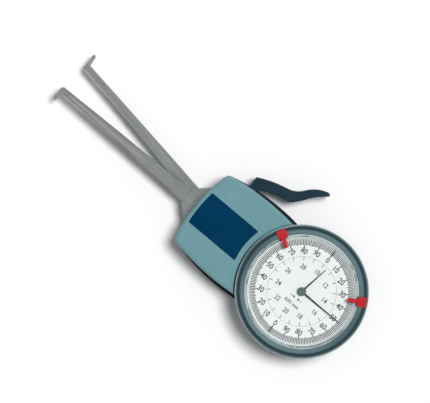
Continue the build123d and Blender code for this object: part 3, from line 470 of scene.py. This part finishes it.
# Tones of the painted shade and the painted highlights on the arms
shadeTone = (0.14, 0.15, 0.15)
highlightTone = (0.68, 0.70, 0.69)
fixedArm = {
    "turn": 0.0, "mark": (0.045, 0.00030, 0.00030), "base": (0.255, 0.271, 0.267),
    "drift": (0.345, 0.364, 0.358), "driftScale": 80.0, "light": (0.58, 0.605, 0.595), "streak": 0.60,
    "polished": (0.62, 0.64, 0.63), "edge": 0.00020, "wear": 0.25, "depth": 0.00002,
    "rough": 0.40, "metal": 0.75,
    # flank: painted shade on the sloping sides, with a painted highlight towards the tip
    "flank": {"colour": (0.175, 0.188, 0.190), "highlightTone": (0.44, 0.46, 0.455), "lean": (0.96, 0.80),
              "tip": -148.0, "full": -132.0, "root": (-84.0, -79.0)},
    # Painted lines along the edges: the dark ones are painted shade, the bright ones painted highlights
    "lines": [
        {"from": (-155.0, -0.62), "to": (-104.0, -2.4), "half": 0.55, "tone": shadeTone, "share": (0.50, 0.50)},
        {"from": (-154.5, -1.55), "to": (-118.0, -2.15), "half": 0.55, "tone": highlightTone, "share": (0.72, 0.20)},
        {"from": (-154.5, 1.10), "to": (-106.0, 2.30), "half": 0.55, "tone": shadeTone, "share": (0.38, 0.35)},
        {"from": (-151.0, 0.30), "to": (-100.0, -0.20), "half": 1.10, "tone": highlightTone, "share": (0.25, 0.22)},
    ],
}
# The moving arm's line is a painted highlight along its lower edge
movingArm = dict(fixedArm, turn=-11.5, base=(0.240, 0.256, 0.255), drift=(0.325, 0.345, 0.342), lines=[
    {"from": (-155.0, 15.35), "to": (-118.5, 8.98), "half": 0.70, "tone": highlightTone, "share": (0.62, 0.25)},
])
dress(groundSteel("arm_steel_fixed", fixedArm), "fixed_arm")
dress(groundSteel("arm_steel_moving", movingArm), "moving_arm")

contact = {
    "axis": (-157.0, -5.3), "pitch": 0.00008, "base": (0.34, 0.36, 0.36), "drift": (0.40, 0.42, 0.42),
    "edge": 0.0001, "wear": 0.2, "polished": (0.5, 0.52, 0.53), "depth": 0.000004,
    "rough": 0.32, "metal": 0.75,
}
dress(turnedMetal("contact_metal", contact), "fixed_contact", "moving_contact")
print("finishes: arms and contacts")


# Bezel, crystal and dial

bezel = {
    "axis": (0.0, 0.0), "pitch": 0.00016, "base": (0.174, 0.287, 0.318), "drift": (0.202, 0.320, 0.353),
    "edge": 0.0003, "wear": 0.7, "polished": (0.46, 0.55, 0.57), "depth": 0.00001,
    "rough": 0.20, "metal": 1.0,
    # groove: the radii, levels and tone of the painted shade in and beside the groove
    "groove": {"between": (30.75, 32.25), "top": 22.85, "floor": 21.9, "beside": (30.2, 31.1), "besideShade": 0.75,
               "colour": (0.060, 0.130, 0.150)},
    # rim: where the painted highlight lies, its patches and its bright tone
    "rim": {"from": 32.1, "full": 32.45, "under": 21.2, "above": 21.8, "patches": 260.0, "band": (0.35, 0.65),
            "least": 0.75, "colour": (0.44, 0.54, 0.57)},
}
dress(turnedMetal("bezel_teal", bezel), "bezel_ring")

dialRing = {
    "axis": (0.0, 0.0), "pitch": 0.00012, "base": (0.90, 0.95, 0.95), "drift": (0.93, 0.97, 0.97),
    "edge": 0.0001, "wear": 0.4, "polished": (0.95, 0.98, 0.98), "depth": 0.00001,
    "rough": 0.3, "metal": 0.05,
}
dress(turnedMetal("ring_bright", dialRing), "dial_ring")

dial = {
    "base": (0.825, 0.855, 0.855), "drift": (0.85, 0.875, 0.88), "driftScale": 50.0,
    "rubbed": (0.8, 0.82, 0.83), "edge": 0.0001, "wear": 0.1,
    "grain": 5000.0, "depth": 0.000006, "rough": 0.5, "smudge": 0.04, "smudgeScale": 90.0, "shine": 0.3,
}
dress(plastic("dial_white", dial), "dial_plate")

rubber = {
    "base": (0.38, 0.46, 0.46), "drift": (0.42, 0.50, 0.50), "driftScale": 200.0,
    "rubbed": (0.5, 0.58, 0.58), "edge": 0.0001, "wear": 0.2,
    "grain": 4000.0, "depth": 0.00001, "rough": 0.8, "smudge": 0.05, "smudgeScale": 200.0, "shine": 0.3,
}
dress(plastic("gasket_rubber", rubber), "crystal_gasket")

crystal = {
    "tint": (0.995, 0.998, 0.998), "film": (0.92, 0.96, 0.96), "ior": 1.45,
    "gloss": 0.02, "haze": 0.10, "hazeScale": 70.0, "band": (0.40, 0.70),
    "bevel": (28.0, 28.2, 28.6, 28.8), "catch": 0.52,
}


def clearCrystal(name, look):
    # Acrylic sheet: what is behind shows through tint, under a glossy film on the outer faces; the film's
    # share = Fresnel, or catch between the bevel's four radii, and none for shadow rays
    material, tree, out = blank(name)
    where = objectPlace(tree)
    haze = noise(tree, where, look["hazeScale"], 6.0)
    rough = remap(tree, haze, *look["band"], look["gloss"], look["haze"])
    film = put(tree, "BsdfPrincipled", {
        "Base Color": opaque(look["film"]), "Roughness": rough, "Metallic": 1.0})
    through = put(tree, "BsdfTransparent", {"Color": opaque(look["tint"])})
    reach = fromAxis(tree, parted(tree, where))[0]
    start, full, fading, end = (part * mm for part in look["bevel"])
    caught = times(tree, remap(tree, reach, start, full, 0.0, look["catch"]),
                   remap(tree, reach, fading, end, 1.0, 0.0))
    outside = work(tree, "SUBTRACT", 1.0, put(tree, "NewGeometry").outputs["Backfacing"])
    mirrored = times(tree, put(tree, "Fresnel", {"IOR": look["ior"]}).outputs[0], outside)
    lit = work(tree, "SUBTRACT", 1.0, put(tree, "LightPath").outputs["Is Shadow Ray"])
    share = times(tree, work(tree, "MAXIMUM", mirrored, caught), lit)
    both = put(tree, "MixShader", {0: share, 1: through.outputs[0], 2: film.outputs[0]})
    tree.links.new(both.outputs[0], out.inputs[0])
    return material


dress(clearCrystal("crystal_clear", crystal), "crystal")

pointer = {
    "base": (0.003, 0.004, 0.004), "drift": (0.007, 0.009, 0.009), "driftScale": 300.0,
    "rubbed": (0.05, 0.05, 0.055), "edge": 0.00008, "wear": 0.3,
    "grain": 6000.0, "depth": 0.000004, "rough": 0.5, "smudge": 0.04, "smudgeScale": 200.0, "shine": 0.2,
}
dress(plastic("pointer_black", pointer), "long_pointer", "short_pointer")

cap = {
    "axis": (0.0, 0.0), "pitch": 0.0001, "base": (0.105, 0.165, 0.148), "drift": (0.13, 0.20, 0.18),
    "edge": 0.0001, "wear": 0.6, "polished": (0.4, 0.48, 0.45), "depth": 0.000006,
    "rough": 0.35, "metal": 0.4,
}
dress(turnedMetal("cap_grey", cap), "pointer_cap")

marker = {
    "base": (0.49, 0.014, 0.022), "drift": (0.54, 0.020, 0.030), "driftScale": 150.0,
    "rubbed": (0.80, 0.20, 0.20), "edge": 0.0002, "wear": 0.3,
    "grain": 3000.0, "depth": 0.00001, "rough": 0.36, "smudge": 0.06, "smudgeScale": 200.0, "shine": 0.4,
}
dress(plastic("marker_red", marker), "tolerance_marker_left", "tolerance_marker_right")
print("finishes: bezel, crystal, dial, pointers, markers")


# Pieces of the movement and the fasteners, each turned on its own axis

smallTurned = {"pitch": 0.0001, "edge": 0.00008, "wear": 0.5, "depth": 0.000006, "metal": 1.0}
brighter = 0.15  # share of the polished tone in the drift
smallParts = {
    "steel": {
        "base": (0.42, 0.43, 0.44), "polished": (0.75, 0.76, 0.77), "rough": 0.28,
        "nodes": ["open_stop_pin", "arm_pivot_pin", "pivot_nut", "spring_post", "lever_pin", "push_pin",
                  "sector_screw_1", "sector_screw_2", "frame_screw_1", "frame_screw_2", "frame_screw_3",
                  "case_screw_1", "case_screw_2", "case_screw_3", "case_screw_4", "idler_arbor",
                  "centre_arbor", "hairspring", "hairspring_stud", "snap_ring"],
    },
    "brass": {
        "base": (0.56, 0.40, 0.15), "polished": (0.85, 0.68, 0.34), "rough": 0.30,
        "nodes": ["lower_bridge", "upper_bridge", "bridge_pillar_1", "bridge_pillar_2", "bridge_pillar_3",
                  "gear_sector", "reduction_wheel", "transfer_wheel", "tube_wheel", "pointer_tube",
                  "hairspring_collet"],
    },
    "bronze": {
        "base": (0.44, 0.25, 0.12), "polished": (0.72, 0.47, 0.28), "rough": 0.36,
        "nodes": ["arm_bush", "centre_bush", "lever_bush"],
    },
}
for kind, tone in smallParts.items():
    pairs = zip(tone["base"], tone["polished"])
    drift = tuple((1 - brighter) * plain + brighter * polished for plain, polished in pairs)
    for name in tone["nodes"]:
        lowest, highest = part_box(name)
        axis = ((lowest.x + highest.x) / 2 / mm, (lowest.y + highest.y) / 2 / mm)
        look = dict(smallTurned, axis=axis, base=tone["base"], drift=drift, polished=tone["polished"],
                    rough=tone["rough"])
        dress(turnedMetal(kind + "_" + name, look), name)
print("finishes: movement and fasteners")


# Printing on the dial. A mark is (inner radius, outer radius, width), a row of numbers is (radius, height,
# weight of the strokes), and the circle is (inner radius, outer radius).

scale = {
    "level": 18.6, "sunk": 0.01, "ink": 0.02,
    "divisions": 200, "fine": (23.3, 26.3, 0.44), "fives": (22.9, 26.3, 0.43), "tens": (22.3, 26.3, 0.48),
    "zero": (22.3, 26.35, 0.75),
    "innerDivisions": 20, "innerTicks": (15.6, 17.5, 0.32), "circle": (17.40, 17.52),
    "outerNumbers": (20.4, 2.95, 0.018), "innerNumbers": (12.4, 2.55, 0.018), "narrow": 0.86,
    "unit": {"text": "0,01 mm", "middle": (-0.1, -7.8), "height": 1.95, "narrow": 1.08, "weight": 0.025},
    "arrows": {"level": -4.3, "tip": 2.0, "length": 1.05, "width": 1.60, "end": 3.5, "line": 0.28},
}
low = scale["level"] - scale["sunk"]
high = scale["level"] + scale["ink"]
lettering = {"extrude": 0.05, "roundness": 3}

printing = {
    "lighter": 1.5, "lift": 0.01, "driftScale": 300.0, "grain": 7000.0, "rough": 0.5, "uneven": 0.2,
    "bump": 0.3, "depth": 0.000004,
}


def printMaterial(name, colour, look):
    # Pad-printed ink: colour drifts to lighter * colour + lift; roughness = rough + uneven * the film's cells
    material, tree, out = blank(name)
    other = tuple(min(1.0, part * look["lighter"] + look["lift"]) for part in colour)
    film = applied(tree, mouldGrain, {"Scale": look["grain"]})
    rough = plus(tree, look["rough"], times(tree, film["Gloss"], look["uneven"]))
    shaded(tree, out, film["Height"], look["bump"], look["depth"], {
        "Base Color": driftingColour(tree, colour, other, look["driftScale"]), "Roughness": rough})
    return material


inkBlack = printMaterial("ink_black", (0.022, 0.023, 0.026), printing)
inkGrey = printMaterial("ink_grey", (0.085, 0.088, 0.092), printing)


def meshPiece(name, shape, material, body):
    # A finished piece in metres from points in millimetres, with its place in its mesh; a piece that bends
    # between two bodies has no body here
    points, faces = shape
    mesh = bpy.data.meshes.new(name)
    mesh.from_pydata((np.asarray(points) * mm).tolist(), [], [tuple(int(i) for i in face) for face in faces])
    mesh.materials.append(material)
    piece = bpy.data.objects.new(name, mesh)
    bpy.context.scene.collection.objects.link(piece)
    if body:
        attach(piece, body)
    return piece


def bars(headings, inner, outer, width):
    # Bars along radii: corner = reach * (sin h, cos h) +- half width * (cos h, -sin h), at low and at high
    turn = np.radians(np.asarray(headings, float))[:, None]
    reach = np.array([inner, inner, outer, outer] * 2)[None, :]
    side = np.array([-1, 1, 1, -1] * 2)[None, :] * width / 2
    x = reach * np.sin(turn) + side * np.cos(turn)
    y = reach * np.cos(turn) - side * np.sin(turn)
    z = np.broadcast_to(np.array([low] * 4 + [high] * 4)[None, :], x.shape)
    points = np.stack([x, y, z], axis=2).reshape(-1, 3)
    corner = np.array([[0, 1, 2, 3], [7, 6, 5, 4], [0, 4, 5, 1], [1, 5, 6, 2], [2, 6, 7, 3], [3, 7, 4, 0]])
    faces = (np.arange(len(headings))[:, None, None] * 8 + corner[None]).reshape(-1, 4)
    return points, faces


def hoop(inner, outer, count=180):
    # A flat ring: the four corners of its section carried round the axis in count steps
    turn = np.linspace(0, 2 * math.pi, count, endpoint=False)[:, None]
    reach = np.array([inner, outer, outer, inner])[None, :]
    z = np.broadcast_to(np.array([low, low, high, high])[None, :], (count, 4))
    points = np.stack([reach * np.cos(turn), reach * np.sin(turn), z], axis=2).reshape(-1, 3)
    ring = np.arange(count)[:, None] * 4
    following = (np.arange(count)[:, None] + 1) % count * 4
    step = np.arange(4)[None, :]
    after = (step + 1) % 4
    faces = np.stack([ring + step, following + step, following + after, ring + after], axis=2).reshape(-1, 4)
    return points, faces


def gathered(parts):
    # Several (points, faces) as one, each part's corners counted on from the last
    points, faces, start = [], [], 0
    for part, corners in parts:
        points.append(np.asarray(part, float))
        faces.extend([tuple(int(i) + start for i in face) for face in corners])
        start += len(part)
    return np.concatenate(points), faces


def lettered(text, middle, height, narrow, weight):
    # Text as a solid mesh: strokes grown by weight, its box centred on middle and scaled to height, its width
    # by narrow too, and its two faces at low and at high
    curve = bpy.data.curves.new("lettering", "FONT")
    curve.body = text
    curve.extrude = lettering["extrude"]
    curve.offset = weight
    curve.resolution_u = lettering["roundness"]
    holder = bpy.data.objects.new("lettering", curve)
    bpy.context.scene.collection.objects.link(holder)
    bpy.context.view_layer.update()
    mesh = bpy.data.meshes.new_from_object(holder.evaluated_get(bpy.context.evaluated_depsgraph_get()))
    points = np.empty(len(mesh.vertices) * 3)
    mesh.vertices.foreach_get("co", points)
    points = points.reshape(-1, 3)
    faces = [tuple(face.vertices) for face in mesh.polygons]
    bpy.data.objects.remove(holder)
    bpy.data.curves.remove(curve)
    bpy.data.meshes.remove(mesh)
    least, most = points.min(0), points.max(0)
    size = height / (most[1] - least[1])
    points = points - (least + most) / 2
    flat = points[:, :2] * size * (narrow, 1.0) + middle
    depth = np.where(points[:, 2] > 0, high, low)
    return np.column_stack([flat, depth]), faces


def numbersRound(values, reach, height, weight):
    # Upright numbers evenly round the dial, clockwise from the top: middle = reach * (sin h, cos h)
    parts = []
    for number, value in enumerate(values):
        heading = math.radians(number * 360 / len(values))
        middle = (reach * math.sin(heading), reach * math.cos(heading))
        parts.append(lettered(str(value), middle, height, scale["narrow"], weight))
    return gathered(parts)


def prism(outline):
    # An outline carried from low to high: bottom turned over, top, and one side for each edge
    count = len(outline)
    points = np.vstack([np.column_stack([outline, np.full(count, z)]) for z in (low, high)])
    sides = [(i, (i + 1) % count, (i + 1) % count + count, i + count) for i in range(count)]
    return points, [tuple(range(count))[::-1], tuple(range(count, 2 * count))] + sides


def arrowMark(look):
    # Two arrow heads that point apart, with a thin line outwards from each tip: x = +-(tip - length) at a
    # head's back, +-tip at its tip and +-end at its line's end
    parts = []
    for side in (1, -1):
        back, tip, end = (side * reach for reach in (look["tip"] - look["length"], look["tip"], look["end"]))
        head = np.array([(back, -look["width"] / 2), (tip, 0.0), (back, look["width"] / 2)])
        half = look["line"] / 2
        line = np.array([(tip, -half), (end, -half), (end, half), (tip, half)])
        parts += [prism(outline[::side] + (0.0, look["level"])) for outline in (head, line)]
    return gathered(parts)


index = np.arange(scale["divisions"])
step = 360 / scale["divisions"]
isZero = index % (scale["divisions"] // 2) == 0
isTen = (index % 10 == 0) & ~isZero
isFive = (index % 5 == 0) & ~isTen & ~isZero
isFine = index % 5 != 0
outerMarks = [bars(index[chosen] * step, *scale[mark])
              for chosen, mark in ((isFine, "fine"), (isFive, "fives"), (isTen, "tens"), (isZero, "zero"))]
innerHeadings = np.arange(scale["innerDivisions"]) * (360 / scale["innerDivisions"])
innerMarks = [bars(innerHeadings, *scale["innerTicks"]), hoop(*scale["circle"])]
outerValues = [10 * (n % 10) for n in range(20)]
innerValues = [10 + 2 * n for n in range(10)]
printed = {
    "dial_graduations": (gathered(outerMarks), inkBlack),
    "dial_inner_scale": (gathered(innerMarks), inkGrey),
    "dial_outer_numbers": (numbersRound(outerValues, *scale["outerNumbers"]), inkBlack),
    "dial_inner_numbers": (numbersRound(innerValues, *scale["innerNumbers"]), inkGrey),
    "dial_arrows": (arrowMark(scale["arrows"]), inkBlack),
    "dial_unit": (lettered(**scale["unit"]), inkBlack),
}
for name, (shape, ink) in printed.items():
    meshPiece(name, shape, ink, "bezel")
print("dial: graduations, numbers, arrows and unit")


# Leaf spring, between its post on the housing and the pin on the arm

leaf = {
    "post": (-55.0, -6.5), "turn": 72.47, "start": -1.2, "end": 20.85, "pin": 19.35,
    "bottom": 11.6, "height": 1.2, "thickness": 0.4, "edge": 0.08, "steps": 60,
}
springSteel = {
    "turn": leaf["turn"], "mark": (0.010, 0.00006, 0.00006), "base": (0.30, 0.32, 0.35),
    "drift": (0.37, 0.39, 0.42), "driftScale": 200.0, "light": (0.55, 0.57, 0.60), "streak": 0.3,
    "polished": (0.70, 0.72, 0.75), "edge": 0.00005, "wear": 0.5, "depth": 0.000004,
    "rough": 0.26, "metal": 1.0,
}


def strip(look):
    # Point(s, r) = post + s * along + section(r), the section being a rectangle with its corners cut by edge
    turn = math.radians(look["turn"])
    half, edge, top = look["thickness"] / 2, look["edge"], look["height"]
    across = np.array([half - edge, half, half, half - edge, edge - half, -half, -half, edge - half])[None, :]
    level = np.array([0, edge, top - edge, top, top, top - edge, edge, 0])[None, :] + look["bottom"]
    along = np.linspace(look["start"], look["end"], look["steps"] + 1)[:, None]
    x = look["post"][0] + along * math.cos(turn) - across * math.sin(turn)
    y = look["post"][1] + along * math.sin(turn) + across * math.cos(turn)
    points = np.stack([x, y, np.broadcast_to(level, x.shape)], axis=2).reshape(-1, 3)
    corners = across.shape[1]
    ring = np.arange(look["steps"])[:, None] * corners
    here = np.arange(corners)[None, :]
    after = (here + 1) % corners
    sides = np.stack([ring + here, ring + after, ring + corners + after, ring + corners + here], axis=2)
    last = look["steps"] * corners
    ends = [tuple(range(corners))[::-1], tuple(range(last, last + corners))]
    return points, sides.reshape(-1, 4).tolist() + ends


leafSteel = groundSteel("spring_steel_leaf", springSteel)
leafSpring = meshPiece("leaf_spring", strip(leaf), leafSteel, None)
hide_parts("arm_spring")
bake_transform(leafSpring)


# Floor, light and camera

stage = {"colour": (0.97, 0.97, 0.97), "half": 3000.0, "drop": -0.05}
corners = np.array([(-1, -1), (1, -1), (1, 1), (-1, 1)]) * stage["half"]
floorPoints = np.column_stack([corners, np.full(4, stage["drop"])]) * mm
floorMesh = bpy.data.meshes.new("floor")
floorMesh.from_pydata(floorPoints.tolist(), [], [(0, 1, 2, 3)])
floor = bpy.data.objects.new("floor", floorMesh)
bpy.context.scene.collection.objects.link(floor)
floorMaterial, tree, out = blank("floor_white")
matt = put(tree, "BsdfDiffuse", {"Color": opaque(stage["colour"])})
tree.links.new(matt.outputs[0], out.inputs[0])
floorMesh.materials.append(floorMaterial)

# World: even as diffuse light; in reflections brighter at the sides than overhead, dark on the near side
light = {
    "world": 0.29, "overhead": 0.42, "sides": 0.95, "sideBand": (0.05, 0.75), "near": 0.05,
    "nearBand": (-0.82, -0.58), "sun": 2.50, "softness": 20.0, "from": (0.13, 0.29, 1.0),
}
world = bpy.data.worlds.new("studio")
bpy.context.scene.world = world
world.use_nodes = True
tree = world.node_tree
tree.nodes.clear()
path = put(tree, "LightPath").outputs
sideways = parted(tree, put(tree, "TexCoord").outputs["Generated"])[1]
aside = work(tree, "ABSOLUTE", sideways)
mirrored = times(tree, remap(tree, aside, *light["sideBand"], light["overhead"], light["sides"]),
                 remap(tree, sideways, *light["nearBand"], light["near"], 1.0))
seen = work(tree, "MAXIMUM", path["Is Camera Ray"], path["Is Transmission Ray"])
strength = put(tree, "Mix", {0: path["Is Glossy Ray"], 2: light["world"], 3: mirrored}).outputs[0]
strength = put(tree, "Mix", {0: seen, 2: strength, 3: 1.0}).outputs[0]
sky = put(tree, "Background", {"Color": (1, 1, 1, 1), "Strength": strength})
worldOut = tree.nodes.new("ShaderNodeOutputWorld")
tree.links.new(sky.outputs[0], worldOut.inputs[0])

sunData = bpy.data.lights.new("key", "SUN")
sunData.energy, sunData.angle = light["sun"], math.radians(light["softness"])
sun = bpy.data.objects.new("key", sunData)
bpy.context.scene.collection.objects.link(sun)
sun.rotation_euler = Vector(light["from"]).to_track_quat("Z", "Y").to_euler()
sun.visible_glossy = False

# Camera straight above: focal length = sensor * height over the object / width of the view there; its clip
# is in metres
photo = {
    "middle": (-62.08, 6.62), "level": 12.0, "pixel": 0.502, "across": 430, "turn": 40.0, "height": 1500.0,
    "sensor": 36.0, "clip": (0.1, 10.0),
}
cameraData = bpy.data.cameras.new("camera")
cameraData.sensor_width = photo["sensor"]
cameraData.lens = photo["sensor"] * (photo["height"] - photo["level"]) / (photo["across"] * photo["pixel"])
cameraData.clip_start, cameraData.clip_end = photo["clip"]
camera = bpy.data.objects.new("camera", cameraData)
bpy.context.scene.collection.objects.link(camera)
camera.location = (photo["middle"][0] * mm, photo["middle"][1] * mm, photo["height"] * mm)
camera.rotation_euler = (0.0, 0.0, math.radians(photo["turn"]))
bpy.context.scene.camera = camera
bpy.context.scene.view_settings.view_transform = "Standard"
print("stage: floor, lamp, world, camera")
